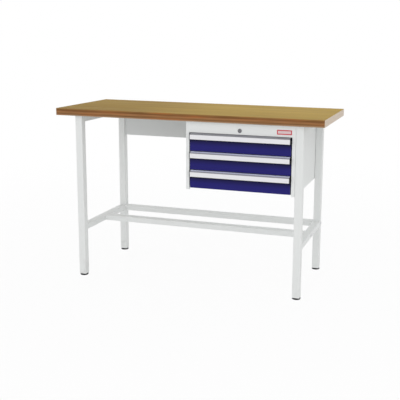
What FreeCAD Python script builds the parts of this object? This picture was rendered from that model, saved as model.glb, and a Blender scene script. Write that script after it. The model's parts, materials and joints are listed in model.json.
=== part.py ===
import FreeCAD, Part
import os
import Sketcher
from types import SimpleNamespace

# Steel-framed workbench with a thick wooden top and a hanging unit of three locking drawers.
# Millimetres. X runs to the right along the top, Y to the back and Z up.
# The origin is on the floor, under the middle of the top.

SIZES = {
    # The whole bench
    "bench_height": 955,
    "top_length": 1500,
    "top_depth": 600,
    "top_thickness": 39,
    "top_edge_ease": 1.5,
    # Legs of square tube and their levelling feet
    "leg_size": 40,
    "leg_wall": 2,
    "leg_corner": 3,
    "leg_inset_end": 108,
    "leg_inset_front": 16,
    "leg_inset_rear": 8,
    "foot_drop": 9,
    "foot_gap": 0.3,
    "foot_diameter": 45,
    "foot_bevel": 2,
    "stud_diameter": 10,
    "stud_length": 45,
    "insert_height": 24,
    "insert_bore_gap": 0.4,
    # Rails of the two side frames
    "top_rail_height": 35,
    "low_rail_height": 30,
    "low_rail_level": 265,
    "rail_wall": 2,
    "rail_corner": 2.5,
    # Stretchers that tie the side frames together
    "stretcher_depth": 50,
    "stretcher_height": 30,
    "stretcher_wall": 2,
    "stretcher_corner": 2.5,
    "end_plate": 4,
    # Folded apron between the rear legs
    "apron_height": 173,
    "apron_sheet": 2,
    "apron_flange": 24,
    "apron_setback": 12,
    "fold_round": 2,
    # Bolts and wood screws of the frame
    "bolt_diameter": 8,
    "bolt_head": 14,
    "bolt_head_height": 4,
    "bolt_reach": 10,
    "bolt_hole_gap": 0.3,
    "stretcher_bolt_pitch": 24,
    "rear_bolt_pitch": 18,
    "apron_bolt_pitch": 110,
    "screw_diameter": 6,
    "screw_head": 12,
    "screw_head_height": 3.5,
    "screw_reach": 25,
    "screw_hole_gap": 0.3,
    "top_screw_pitch": 190,
    # Hanging drawer unit, a folded sheet shell
    "cabinet_width": 591.5,
    "cabinet_rear_gap": 28,
    "cabinet_height": 366,
    "cabinet_leg_gap": 0.5,
    "cabinet_sheet": 1.5,
    "back_sheet": 1.2,
    "post_width": 18,
    "post_return": 14,
    "rear_flange": 22,
    "panel_flange": 18,
    "bottom_setback": 50,
    "fascia_height": 58.5,
    "fascia_lap": 2.5,
    "cabinet_screw_edge": 60,
    "cabinet_screw_pitch": 175,
    # Uprights that carry the slides
    "upright_width": 40,
    "upright_headroom": 46,
    "upright_level": 20,
    "upright_inset": 4,
    # Telescopic slides in three members
    "slide_front_gap": 3,
    "slide_rear_gap": 17,
    "slide_post_gap": 1,
    "slide_thickness": 14,
    "slide_height": 44,
    "slide_sheet": 1.5,
    "slide_lip": 5,
    "slide_outer_depth": 9,
    "slide_run_gap": 0.4,
    "slide_crown_step": 9,
    "slide_pair_gap": 0.5,
    "slide_inner_depth": 2.5,
    # Drawers
    "drawer_level": 10,
    "drawer_gap": 5.3,
    "drawer_headroom": 4,
    "front_depth": 15,
    "front_sheet": 1.5,
    "front_round": 1.2,
    "front_return": 32,
    "box_rear_gap": 32.3,
    "box_headroom": 20,
    "box_level": 8,
    "box_sheet": 1.2,
    "box_hem": 9,
    "drawer_screw": 4,
    "drawer_screw_head": 8,
    "drawer_screw_head_height": 2.5,
    "drawer_screw_inset": 9,
    "drawer_screw_pitch": 44,
    "drawer_screw_gap": 0.2,
    # Handle profile along the top of each drawer front
    "handle_flange": 2,
    "handle_reach": 15.5,
    "handle_drop": 9.4,
    "handle_lip": 24.5,
    "handle_wall": 2.4,
    "handle_curl": 6,
    "handle_round": 3,
    "handle_cap": 3.2,
    # Lock in the fascia and the bar that it works behind the drawers
    "lock_level": 20.5,
    "lock_flange": 22,
    "lock_flange_height": 2.5,
    "lock_barrel": 18,
    "lock_barrel_length": 22,
    "lock_bore": 12.6,
    "lock_fit_gap": 0.3,
    "lock_nut_size": 26,
    "lock_nut_height": 4,
    "plug_proud": 0.8,
    "key_width": 1.8,
    "key_height": 7,
    "key_depth": 6,
    "rod_diameter": 6,
    "crank_offset": 5,
    "crank_thickness": 3,
    "pin_diameter": 4,
    "pin_slot_gap": 0.8,
    "bar_width": 28,
    "bar_thickness": 3,
    "bar_back_gap": 9,
    "bar_head": 14,
    "bar_foot": 12,
    "crank_bar_gap": 2,
    "hook_width": 16,
    "hook_thickness": 3,
    "hook_clear": 3,
    "hook_wall_gap": 2.8,
    "guide_height": 20,
    "guide_sheet": 1.5,
    "guide_gap": 0.5,
    "guide_level": 19,
}

doc = FreeCAD.newDocument("workbench")
sheet = doc.addObject("Spreadsheet::Sheet", "dims")
for row, (name, number) in enumerate(SIZES.items(), 1):
    sheet.set(f"A{row}", name)
    sheet.set(f"B{row}", str(number))
    sheet.setAlias(f"B{row}", name)
doc.recompute()


# A length that keeps its value together with the spreadsheet formula it comes from
class Size:
    def __init__(self, value, formula):
        self.value = float(value)
        self.formula = formula

    def __add__(self, other):
        other = as_size(other)
        return Size(self.value + other.value, f"({self.formula} + {other.formula})")

    def __sub__(self, other):
        other = as_size(other)
        return Size(self.value - other.value, f"({self.formula} - {other.formula})")

    def __mul__(self, factor):
        return Size(self.value * factor, f"({self.formula} * {factor})")

    def __truediv__(self, factor):
        return Size(self.value / factor, f"({self.formula} / {factor})")

    def __neg__(self):
        return Size(-self.value, f"(0 - {self.formula})")

    __rmul__ = __mul__


def as_size(length):
    return length if isinstance(length, Size) else Size(length, str(length))


d = SimpleNamespace(**{name: Size(number, f"dims.{name}") for name, number in SIZES.items()})
zero = Size(0, "0")
pieces = []

# How closely an edge has to lie at a place, or run along an axis, to be picked
same_place = 0.01
straight_share = 0.001


# Document helpers: bodies, sketches bound to the sheet, and features

def new_body(label, x=zero, y=zero, z=zero):
    body = doc.addObject("PartDesign::Body", label)
    body.Label = label
    body.AllowCompound = True
    for axis, place in zip("xyz", (x, y, z)):
        body.setExpression(f"Placement.Base.{axis}", place.formula)
    pieces.append(body)
    return body


def new_sketch(body, role, offset=zero):
    plane = next(item for item in body.Origin.OriginFeatures if item.Role == role)
    sketch = body.newObject("Sketcher::SketchObject", "sketch")
    sketch.AttachmentSupport = (plane, [""])
    sketch.MapMode = "FlatFace"
    shift = -offset if role == "XZ_Plane" else offset
    sketch.setExpression("AttachmentOffset.Base.z", shift.formula)
    return sketch


def hold_point(sketch, geometry, vertex, point):
    for kind, place in zip(("DistanceX", "DistanceY"), point):
        rule = Sketcher.Constraint(kind, -1, 1, geometry, vertex, place.value)
        index = sketch.addConstraint(rule)
        sketch.setExpression(f"Constraints[{index}]", place.formula)


def draw_outline(sketch, points):
    points = [(as_size(x), as_size(y)) for x, y in points]
    count = len(points)
    corners = [FreeCAD.Vector(x.value, y.value, 0) for x, y in points]
    first = sketch.GeometryCount
    sketch.addGeometry([Part.LineSegment(corners[i], corners[(i + 1) % count]) for i in range(count)])
    joins = [(first + i, 2, first + (i + 1) % count, 1) for i in range(count)]
    sketch.addConstraint([Sketcher.Constraint("Coincident", *join) for join in joins])
    for i, point in enumerate(points):
        hold_point(sketch, first + i, 1, point)


def draw_box(sketch, x0, x1, y0, y1):
    draw_outline(sketch, [(x0, y0), (x1, y0), (x1, y1), (x0, y1)])


def draw_circle(sketch, x, y, diameter):
    x, y = as_size(x), as_size(y)
    centre = FreeCAD.Vector(x.value, y.value, 0)
    circle = Part.Circle(centre, FreeCAD.Vector(0, 0, 1), diameter.value / 2)
    index = sketch.addGeometry(circle)
    rule = sketch.addConstraint(Sketcher.Constraint("Diameter", index, diameter.value))
    sketch.setExpression(f"Constraints[{rule}]", diameter.formula)
    hold_point(sketch, index, 3, (x, y))


def pad(body, sketch, length, reverse=False):
    feature = body.newObject("PartDesign::Pad", "pad")
    feature.Profile = sketch
    feature.setExpression("Length", length.formula)
    feature.Reversed = reverse
    doc.recompute()
    return feature


def pocket(body, sketch, length, reverse=False):
    before = body.Shape.Volume
    feature = body.newObject("PartDesign::Pocket", "pocket")
    feature.Profile = sketch
    feature.setExpression("Length", length.formula)
    feature.Reversed = reverse
    doc.recompute()
    if body.Shape.Volume >= before:
        raise RuntimeError(f"{body.Label}: a pocket cut nothing")
    return feature


def round_edges(body, wanted, radius, kind="Fillet"):
    base = body.Tip
    names = [f"Edge{i}" for i, edge in enumerate(base.Shape.Edges, 1) if wanted(edge)]
    feature = body.newObject(f"PartDesign::{kind}", kind.lower())
    feature.Base = (base, names)
    feature.setExpression("Radius" if kind == "Fillet" else "Size", radius.formula)
    doc.recompute()
    return feature


def runs_along(edge, axis):
    box = edge.BoundBox
    spans = {"x": box.XLength, "y": box.YLength, "z": box.ZLength}
    across = sum(span for name, span in spans.items() if name != axis)
    return across < straight_share * spans[axis]


def passes(edge, **places):
    centre = edge.BoundBox.Center
    return all(abs(getattr(centre, axis) - place.value) < same_place for axis, place in places.items())


# Places that several pieces share
under_top = d.bench_height - d.top_thickness
leg_outer = d.top_length / 2 - d.leg_inset_end
leg_inner = leg_outer - d.leg_size
leg_middle = leg_outer - d.leg_size / 2
frame_front = -(d.top_depth / 2 - d.leg_inset_front)
frame_rear = d.top_depth / 2 - d.leg_inset_rear
rail_front = frame_front + d.leg_size
rail_length = frame_rear - d.leg_size - rail_front
cabinet_left = leg_inner - d.cabinet_leg_gap - d.cabinet_width
cabinet_floor = under_top - d.cabinet_height
cabinet_middle = d.cabinet_width / 2
bolt_level = d.low_rail_level + d.stretcher_height / 2
rear_bolt_line = frame_rear - d.leg_size / 2
apron_middle = under_top - d.apron_height / 2
bolt_hole = d.bolt_diameter + d.bolt_hole_gap * 2
screw_hole = d.screw_diameter + d.screw_hole_gap * 2
sides = ("left", "right")
drawers = ("bottom", "middle", "top")

# The drawer unit fills the space between the front legs' faces and the apron,
# its drawers share the height under the fascia, which laps the uppermost gap,
# and boxes and slides fit inside it
apron_front = frame_rear - d.leg_size + d.apron_setback
apron_bolt_line = apron_front + d.apron_sheet + d.apron_flange / 2
cabinet_depth = apron_front - d.cabinet_rear_gap - frame_front
back_face = cabinet_depth - d.cabinet_sheet - d.back_sheet
box_depth = back_face - d.box_rear_gap - d.front_depth
drawer_pitch = (d.cabinet_height - d.fascia_height + d.fascia_lap - d.drawer_level) / len(drawers)
front_height = drawer_pitch - d.handle_flange - d.drawer_headroom
box_height = drawer_pitch - d.box_level - d.box_headroom
box_top = d.box_level + box_height
slide_front = d.front_depth + d.slide_front_gap
slide_end = d.front_depth + box_depth - d.slide_rear_gap
slide_length = slide_end - slide_front
slide_level = d.box_level + box_height / 2
slide_crown = d.slide_height / 2 - d.slide_crown_step
slide_mid_end = d.slide_thickness - d.slide_inner_depth - d.slide_pair_gap


def mirrored(side, x):
    return -x if side == "left" else x


def screw_row(pitch):
    return [pitch * step for step in (-1, 0, 1)]


def top_screw_places():
    line = rail_front + rail_length / 2
    steps = screw_row(d.top_screw_pitch)
    return [(mirrored(side, leg_middle), line + step) for side in sides for step in steps]


def cabinet_screw_places():
    columns = [d.cabinet_screw_edge, d.cabinet_width - d.cabinet_screw_edge]
    line = frame_front + cabinet_depth / 2
    steps = screw_row(d.cabinet_screw_pitch)
    return [(cabinet_left + x, line + step) for x in columns for step in steps]


def pair_across(middle, pitch):
    return [middle - pitch / 2, middle + pitch / 2]


# Wooden top, with blind pilot holes for the screws that come up from below
def make_worktop():
    body = new_body("worktop", z=under_top)
    plan = new_sketch(body, "XY_Plane")
    draw_box(plan, -d.top_length / 2, d.top_length / 2, -d.top_depth / 2, d.top_depth / 2)
    pad(body, plan, d.top_thickness)
    round_edges(body, lambda edge: True, d.top_edge_ease)
    pilots = new_sketch(body, "XY_Plane")
    for x, y in top_screw_places() + cabinet_screw_places():
        draw_circle(pilots, x, y, screw_hole)
    pocket(body, pilots, d.screw_reach + d.screw_hole_gap, reverse=True)


# Hollow bar: an outer and an inner rectangle carried along, with its long corners rounded
def make_tube(body, role, width, height, wall, corner, length, reverse=False):
    axis = {"XY_Plane": "z", "XZ_Plane": "y", "YZ_Plane": "x"}[role]
    section = new_sketch(body, role)
    draw_box(section, -width / 2, width / 2, -height / 2, height / 2)
    draw_box(section, wall - width / 2, width / 2 - wall, wall - height / 2, height / 2 - wall)
    pad(body, section, length, reverse)
    first, second = [name for name in "xyz" if name != axis]
    half = {first: width / 2, second: height / 2}

    def is_corner(edge):
        centre = edge.BoundBox.Center
        misses = [abs(abs(getattr(centre, name)) - size.value) for name, size in half.items()]
        return max(misses) < same_place and runs_along(edge, axis)

    round_edges(body, is_corner, corner)


def make_leg(name, side, row):
    depth = frame_front + d.leg_size / 2 if row == "front" else frame_rear - d.leg_size / 2
    body = new_body(name, mirrored(side, leg_middle), depth, d.foot_drop)
    make_tube(body, "XY_Plane", d.leg_size, d.leg_size, d.leg_wall, d.leg_corner, under_top - d.foot_drop)
    if row == "rear":
        apron_holes = new_sketch(body, "YZ_Plane")
        for level in pair_across(apron_middle - d.foot_drop, d.apron_bolt_pitch):
            draw_circle(apron_holes, apron_bolt_line - depth, level, bolt_hole)
        pocket(body, apron_holes, d.leg_size, reverse=side == "left")
        for outward in (False, True):
            holes = new_sketch(body, "YZ_Plane")
            for y in pair_across(zero, d.rear_bolt_pitch):
                draw_circle(holes, y, bolt_level - d.foot_drop, bolt_hole)
            pocket(body, holes, d.leg_size, reverse=outward)


def make_side_frames():
    for side in sides:
        for row in ("front", "rear"):
            make_leg(f"leg_{row}_{side}", side, row)
        make_top_rail(side)
        make_low_rail(side)


def make_top_rail(side):
    level = under_top - d.top_rail_height / 2
    body = new_body(f"top_rail_{side}", mirrored(side, leg_middle), rail_front, level)
    size = (d.leg_size, d.top_rail_height, d.rail_wall, d.rail_corner)
    make_tube(body, "XZ_Plane", *size, rail_length, reverse=True)
    holes = new_sketch(body, "XY_Plane", -d.top_rail_height)
    for step in screw_row(d.top_screw_pitch):
        draw_circle(holes, zero, rail_length / 2 + step, screw_hole)
    pocket(body, holes, d.top_rail_height * 2, reverse=True)


def make_low_rail(side):
    level = d.low_rail_level + d.low_rail_height / 2
    body = new_body(f"low_rail_{side}", mirrored(side, leg_middle), rail_front, level)
    size = (d.leg_size, d.low_rail_height, d.rail_wall, d.rail_corner)
    make_tube(body, "XZ_Plane", *size, rail_length, reverse=True)
    holes = new_sketch(body, "YZ_Plane", -d.leg_size)
    for y in pair_across(-rail_front, d.stretcher_bolt_pitch):
        draw_circle(holes, y, bolt_level - level, bolt_hole)
    pocket(body, holes, d.leg_size * 2, reverse=True)


# Stretcher tube with a drilled plate welded into each end
def make_stretcher(name, middle, bolt_line, bolt_pitch):
    body = new_body(name, -leg_inner, middle, d.low_rail_level + d.stretcher_height / 2)
    length = leg_inner * 2
    size = (d.stretcher_depth, d.stretcher_height, d.stretcher_wall, d.stretcher_corner)
    make_tube(body, "YZ_Plane", *size, length)
    half_depth = d.stretcher_depth / 2 - d.stretcher_wall
    half_height = d.stretcher_height / 2 - d.stretcher_wall
    for place in (zero, length - d.end_plate):
        plate = new_sketch(body, "YZ_Plane", place)
        draw_box(plate, -half_depth, half_depth, -half_height, half_height)
        for y in pair_across(bolt_line - middle, bolt_pitch):
            draw_circle(plate, y, zero, bolt_hole)
        pad(body, plate, d.end_plate)


def make_stretchers():
    make_stretcher("centre_stretcher", zero, zero, d.stretcher_bolt_pitch)
    rear_middle = frame_rear - d.stretcher_depth / 2
    make_stretcher("rear_stretcher", rear_middle, rear_bolt_line, d.rear_bolt_pitch)


# Sheet folded to a channel, open to the back, with a drilled flange at each end
def make_apron():
    body = new_body("rear_apron", -leg_inner, apron_front, under_top - d.apron_height)
    deep = d.apron_flange + d.apron_sheet
    wall = d.apron_sheet
    tall = d.apron_height
    section = new_sketch(body, "YZ_Plane")
    draw_outline(section, [(zero, zero), (deep, zero), (deep, wall), (wall, wall),
                           (wall, tall - wall), (deep, tall - wall), (deep, tall), (zero, tall)])
    pad(body, section, leg_inner * 2)
    round_edges(body, lambda edge: runs_along(edge, "x") and passes(edge, y=zero), d.fold_round)
    for place in (zero, leg_inner * 2 - wall):
        flange = new_sketch(body, "YZ_Plane", place)
        draw_box(flange, wall, deep, wall, tall - wall)
        for level in pair_across(tall / 2, d.apron_bolt_pitch):
            draw_circle(flange, apron_bolt_line - apron_front, level, bolt_hole)
        pad(body, flange, wall)


# Bolts and screws: shanks and heads as circles carried along their axis
def make_fasteners(body, role, places, kind, start, length, reverse=False):
    diameter, head, head_height = kind
    shanks = new_sketch(body, role, start)
    heads = new_sketch(body, role, start)
    for x, y in places:
        draw_circle(shanks, x, y, diameter)
        draw_circle(heads, x, y, head)
    pad(body, shanks, length, reverse)
    pad(body, heads, head_height, not reverse)


def make_frame_bolts():
    body = new_body("stretcher_bolts")
    length = d.leg_size + d.end_plate + d.bolt_reach
    places = [(y, bolt_level) for y in pair_across(zero, d.stretcher_bolt_pitch)]
    places += [(y, bolt_level) for y in pair_across(rear_bolt_line, d.rear_bolt_pitch)]
    bolt = (d.bolt_diameter, d.bolt_head, d.bolt_head_height)
    for side in sides:
        make_fasteners(body, "YZ_Plane", places, bolt, mirrored(side, leg_outer), length, side == "right")
    body = new_body("apron_bolts")
    places = [(apron_bolt_line, level) for level in pair_across(apron_middle, d.apron_bolt_pitch)]
    length = d.apron_sheet + d.leg_wall + d.bolt_reach
    for side in sides:
        seat = mirrored(side, leg_inner - d.apron_sheet)
        make_fasteners(body, "YZ_Plane", places, bolt, seat, length, side == "left")


def make_wood_screws():
    screw = (d.screw_diameter, d.screw_head, d.screw_head_height)
    body = new_body("top_screws")
    seat = under_top - d.top_rail_height
    length = d.top_rail_height + d.screw_reach
    make_fasteners(body, "XY_Plane", top_screw_places(), screw, seat, length)
    body = new_body("cabinet_screws")
    seat = under_top - d.cabinet_sheet
    length = d.cabinet_sheet + d.screw_reach
    make_fasteners(body, "XY_Plane", cabinet_screw_places(), screw, seat, length)


# Square plug in the end of every leg, bored for the foot's stud
def make_leg_inserts():
    body = new_body("leg_inserts", z=d.foot_drop)
    half = d.leg_size / 2 - d.leg_wall
    plan = new_sketch(body, "XY_Plane")
    for x, y in leg_centres().values():
        draw_box(plan, x - half, x + half, y - half, y + half)
        draw_circle(plan, x, y, d.stud_diameter + d.insert_bore_gap * 2)
    pad(body, plan, d.insert_height)


def leg_centres():
    rows = {"front": frame_front + d.leg_size / 2, "rear": frame_rear - d.leg_size / 2}
    return {f"{row}_{side}": (mirrored(side, leg_middle), y)
            for row, y in rows.items() for side in sides}


# Round pad on a stud, turned about its own axis
def make_feet():
    height = d.foot_drop - d.foot_gap
    rim = d.foot_diameter / 2
    stem = d.stud_diameter / 2
    for place, (x, y) in leg_centres().items():
        body = new_body(f"foot_{place}", x, y)
        half = new_sketch(body, "XZ_Plane")
        draw_outline(half, [(zero, zero), (rim - d.foot_bevel / 2, zero), (rim, d.foot_bevel / 2),
                            (rim, height - d.foot_bevel), (rim - d.foot_bevel, height), (stem, height),
                            (stem, d.stud_length), (zero, d.stud_length)])
        turn = body.newObject("PartDesign::Revolution", "revolution")
        turn.Profile = half
        turn.ReferenceAxis = (half, ["V_Axis"])
        turn.Angle = 360
        doc.recompute()


# Drawer unit. Its pieces share an origin at the shell's front lower left corner
def cabinet_body(label, x=zero, y=zero, z=zero):
    return new_body(label, cabinet_left + x, frame_front + y, cabinet_floor + z)


def across(side, x):
    return x if side == "left" else d.cabinet_width - x


def make_cabinet_side(side):
    body = cabinet_body(f"cabinet_{side}_side")
    wall = d.cabinet_sheet
    deep = cabinet_depth
    fold = [(zero, zero), (d.post_width, zero), (d.post_width, d.post_return),
            (d.post_width - wall, d.post_return), (d.post_width - wall, wall), (wall, wall),
            (wall, deep - wall), (d.rear_flange, deep - wall), (d.rear_flange, deep), (zero, deep)]
    plan = new_sketch(body, "XY_Plane")
    draw_outline(plan, [(across(side, x), y) for x, y in fold])
    pad(body, plan, d.cabinet_height)
    outside = across(side, zero)
    for fold_line in (zero, deep):
        at_fold = lambda edge: runs_along(edge, "z") and passes(edge, x=outside, y=fold_line)
        round_edges(body, at_fold, d.fold_round)


def make_cabinet_panels():
    wall = d.cabinet_sheet
    left, right = wall, d.cabinet_width - wall
    flange = d.panel_flange
    body = cabinet_body("cabinet_back")
    plan = new_sketch(body, "XY_Plane")
    draw_box(plan, left, right, back_face, cabinet_depth - wall)
    pad(body, plan, d.cabinet_height)
    body = cabinet_body("cabinet_top", y=d.post_return, z=d.cabinet_height)
    section = new_sketch(body, "XZ_Plane")
    draw_outline(section, [(left, zero), (left, -flange), (left + wall, -flange), (left + wall, -wall),
                           (right - wall, -wall), (right - wall, -flange), (right, -flange), (right, zero)])
    pad(body, section, back_face - d.post_return, reverse=True)
    holes = new_sketch(body, "XY_Plane")
    for x, y in cabinet_screw_places():
        draw_circle(holes, x - cabinet_left, y - frame_front - d.post_return, screw_hole)
    pocket(body, holes, wall)
    body = cabinet_body("cabinet_bottom", y=d.bottom_setback)
    section = new_sketch(body, "XZ_Plane")
    draw_outline(section, [(left, zero), (right, zero), (right, flange), (right - wall, flange),
                           (right - wall, wall), (left + wall, wall), (left + wall, flange), (left, flange)])
    pad(body, section, back_face - d.bottom_setback, reverse=True)


# Channel above the drawers, between the posts, pierced for the lock
def make_fascia():
    body = cabinet_body("cabinet_fascia", d.post_width, z=d.cabinet_height - d.fascia_height)
    wall = d.cabinet_sheet
    tall = d.fascia_height
    deep = d.post_return
    section = new_sketch(body, "YZ_Plane")
    draw_outline(section, [(zero, zero), (deep, zero), (deep, wall), (wall, wall),
                           (wall, tall - wall), (deep, tall - wall), (deep, tall), (zero, tall)])
    pad(body, section, d.cabinet_width - d.post_width * 2)
    round_edges(body, lambda edge: runs_along(edge, "x") and passes(edge, y=zero), d.front_round)
    hole = new_sketch(body, "XZ_Plane")
    draw_circle(hole, cabinet_middle - d.post_width, d.lock_level, d.lock_barrel + d.lock_fit_gap * 2)
    pocket(body, hole, wall)


def slide_start():
    return d.post_width + d.slide_post_gap


def make_uprights(side):
    body = cabinet_body(f"slide_uprights_{side}", z=d.upright_level)
    wall = d.cabinet_sheet
    tip = slide_start()
    plan = new_sketch(body, "XY_Plane")
    for front in (slide_front + d.upright_inset, slide_end - d.upright_inset - d.upright_width):
        rear = front + d.upright_width
        fold = [(wall, front), (tip, front), (tip, rear), (wall, rear), (wall, rear - wall),
                (tip - wall, rear - wall), (tip - wall, front + wall), (wall, front + wall)]
        draw_outline(plan, [(across(side, x), y) for x, y in fold])
    pad(body, plan, d.cabinet_height - d.upright_level - d.upright_headroom)


def drawer_floor(name):
    return d.drawer_level + drawer_pitch * drawers.index(name)


# Slide members in section: x from the upright to the drawer, z about the slide's middle line
def outer_member():
    half = d.slide_height / 2
    wall = d.slide_sheet
    deep = d.slide_outer_depth
    lip = half - d.slide_lip
    outside = [(deep - wall, lip), (deep, lip), (deep, half), (zero, half)]
    inside = [(wall, half - wall), (deep - wall, half - wall)]
    return mirror_profile(outside, inside)


def middle_member():
    wall = d.slide_sheet
    start = wall + d.slide_run_gap
    half = d.slide_height / 2 - wall - d.slide_run_gap
    end = slide_mid_end
    low = slide_crown - wall
    outside = [(start, half), (start + wall, half), (start + wall, slide_crown), (end, slide_crown)]
    inside = [(end - wall, low), (start, low)]
    return mirror_profile(outside, inside)


def inner_member():
    wall = d.slide_sheet
    start = slide_mid_end + d.slide_pair_gap
    end = d.slide_thickness
    half = slide_crown
    outside = [(start, half - wall), (start, half), (end, half)]
    return mirror_profile(outside, [(end - wall, half - wall)])


# Both walls of a bent strip, from their upper halves: down the outside and back up the inside
def mirror_profile(outside, inside):
    down = [(x, -z) for x, z in reversed(outside)]
    back = [(x, -z) for x, z in reversed(inside)]
    return outside + down + back + inside


def draw_member(sketch, side, profile, level):
    draw_outline(sketch, [(across(side, slide_start() + x), level + z) for x, z in profile])


def make_outer_slides(side):
    body = cabinet_body(f"slide_outer_{side}", y=slide_front)
    section = new_sketch(body, "XZ_Plane")
    for name in drawers:
        draw_member(section, side, outer_member(), drawer_floor(name) + slide_level)
    pad(body, section, slide_length, reverse=True)


# One drawer: sheet box, folded front, handle profile with end caps, runners and screws
def drawer_body(name, piece, y=zero):
    return cabinet_body(f"drawer_{name}_{piece}", y=y, z=drawer_floor(name))


def box_side():
    return slide_start() + d.slide_thickness


def drawer_screw_places():
    columns = [box_side() + d.drawer_screw_inset, d.cabinet_width - box_side() - d.drawer_screw_inset]
    rows = pair_across(d.box_level + box_height / 2, d.drawer_screw_pitch)
    return [(x, z) for x in columns for z in rows]


def draw_screw_holes(sketch):
    for x, z in drawer_screw_places():
        draw_circle(sketch, x, z, d.drawer_screw + d.drawer_screw_gap * 2)


def make_drawer_box(name):
    body = drawer_body(name, "box", d.front_depth)
    wall = d.box_sheet
    left, right = box_side(), d.cabinet_width - box_side()
    low, high = d.box_level, box_top
    section = new_sketch(body, "XZ_Plane")
    draw_outline(section, [(left, low), (right, low), (right, high), (right - d.box_hem, high),
                           (right - d.box_hem, high - wall), (right - wall, high - wall),
                           (right - wall, low + wall), (left + wall, low + wall),
                           (left + wall, high - wall), (left + d.box_hem, high - wall),
                           (left + d.box_hem, high), (left, high)])
    pad(body, section, box_depth, reverse=True)
    for place in (zero, box_depth - wall):
        end = new_sketch(body, "XZ_Plane", place)
        draw_box(end, left, right, low, high)
        if place is zero:
            draw_screw_holes(end)
        pad(body, end, wall, reverse=True)


def front_edges():
    left = d.post_width + d.drawer_gap
    return left, d.cabinet_width - left


def make_drawer_front(name):
    body = drawer_body(name, "front")
    wall = d.front_sheet
    left, right = front_edges()
    low, high = wall, front_height - wall
    face = new_sketch(body, "XZ_Plane")
    draw_box(face, left, right, zero, front_height)
    pad(body, face, d.front_depth, reverse=True)
    round_edges(body, lambda edge: passes(edge, y=zero), d.front_round)
    hollow = new_sketch(body, "XZ_Plane", wall)
    draw_box(hollow, left + wall, right - wall, low, high)
    pocket(body, hollow, d.front_depth)
    returns = new_sketch(body, "XZ_Plane", d.front_depth - wall)
    draw_box(returns, left + wall, left + d.front_return, low, high)
    draw_box(returns, right - d.front_return, right - wall, low, high)
    draw_screw_holes(returns)
    pad(body, returns, wall, reverse=True)


# Sloping top, hanging lip and curled lower edge, drawn from the side
def make_handle(name):
    left, right = front_edges()
    body = drawer_body(name, "handle")
    wall = d.handle_wall
    seat = front_height
    top = seat + d.handle_flange
    lip_top = top - d.handle_drop
    lip_foot = lip_top - d.handle_lip
    out = -d.handle_reach
    inside = out + wall
    section = new_sketch(body, "YZ_Plane", left + d.handle_cap)
    draw_outline(section, [(d.front_depth, top), (zero, top), (out, lip_top), (out, lip_foot),
                           (out + d.handle_curl, lip_foot), (out + d.handle_curl, lip_foot + wall),
                           (inside, lip_foot + wall), (inside, lip_top - wall / 2),
                           (zero, seat - wall / 2), (zero, seat), (d.front_depth, seat)])
    pad(body, section, right - left - d.handle_cap * 2)
    for level in (lip_top, lip_foot):
        at_lip = lambda edge: runs_along(edge, "x") and passes(edge, y=out, z=level)
        round_edges(body, at_lip, d.handle_round / 2)
    make_handle_caps(name, top, lip_top, lip_foot, out)


def make_handle_caps(name, top, lip_top, lip_foot, out):
    left, right = front_edges()
    body = drawer_body(name, "handle_caps")
    for place in (left, right - d.handle_cap):
        end = new_sketch(body, "YZ_Plane", place)
        draw_outline(end, [(d.front_depth, top), (zero, top), (out, lip_top), (out, lip_foot),
                           (zero, lip_foot), (zero, front_height), (d.front_depth, front_height)])
        pad(body, end, d.handle_cap)


def make_drawer_slides(name):
    for piece, profile in (("runners", inner_member()), ("slide_mid", middle_member())):
        body = drawer_body(name, piece, slide_front)
        section = new_sketch(body, "XZ_Plane")
        for side in sides:
            draw_member(section, side, profile, slide_level)
        pad(body, section, slide_length, reverse=True)


def make_drawer_screws(name):
    body = drawer_body(name, "screws")
    seat = d.front_depth + d.box_sheet
    screw = (d.drawer_screw, d.drawer_screw_head, d.drawer_screw_head_height)
    length = d.box_sheet + d.front_depth / 2
    make_fasteners(body, "XZ_Plane", drawer_screw_places(), screw, seat, length)


# Lock: barrel and nut in the fascia, turning plug, rod with a crank, bar with hooks, and guides
def lock_body(label, y=zero):
    level = d.cabinet_height - d.fascia_height + d.lock_level
    return cabinet_body(label, cabinet_middle, y, level)


def draw_ring(body, outer, bore, place):
    ring = new_sketch(body, "XZ_Plane", place)
    draw_circle(ring, zero, zero, outer)
    draw_circle(ring, zero, zero, bore)
    return ring


def make_lock():
    body = lock_body("lock_barrel")
    flange = draw_ring(body, d.lock_flange, d.lock_bore, -d.lock_flange_height)
    pad(body, flange, d.lock_flange_height, reverse=True)
    rim = -d.lock_flange_height
    is_rim = lambda edge: passes(edge, y=rim) and edge.BoundBox.XLength > d.lock_barrel.value
    round_edges(body, is_rim, d.lock_flange_height / 2)
    pad(body, draw_ring(body, d.lock_barrel, d.lock_bore, zero), d.lock_barrel_length, reverse=True)
    body = lock_body("lock_nut", d.cabinet_sheet)
    section = new_sketch(body, "XZ_Plane")
    side = d.lock_nut_size / 2
    slant = side / 3 ** 0.5
    draw_outline(section, [(slant, side), (slant * 2, zero), (slant, -side),
                           (-slant, -side), (slant * -2, zero), (-slant, side)])
    draw_circle(section, zero, zero, d.lock_barrel + d.lock_fit_gap * 2)
    pad(body, section, d.lock_nut_height, reverse=True)
    make_lock_plug()
    make_lock_rod()


def make_lock_plug():
    body = lock_body("lock_plug")
    front = -(d.lock_flange_height + d.plug_proud)
    face = new_sketch(body, "XZ_Plane", front)
    draw_circle(face, zero, zero, d.lock_bore - d.lock_fit_gap * 2)
    pad(body, face, d.lock_barrel_length - front, reverse=True)
    keyway = new_sketch(body, "XZ_Plane", front)
    draw_box(keyway, -d.key_width / 2, d.key_width / 2, -d.key_height / 2, d.key_height / 2)
    pocket(body, keyway, d.key_depth)


def bar_front():
    return back_face - d.bar_back_gap - d.bar_thickness


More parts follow.
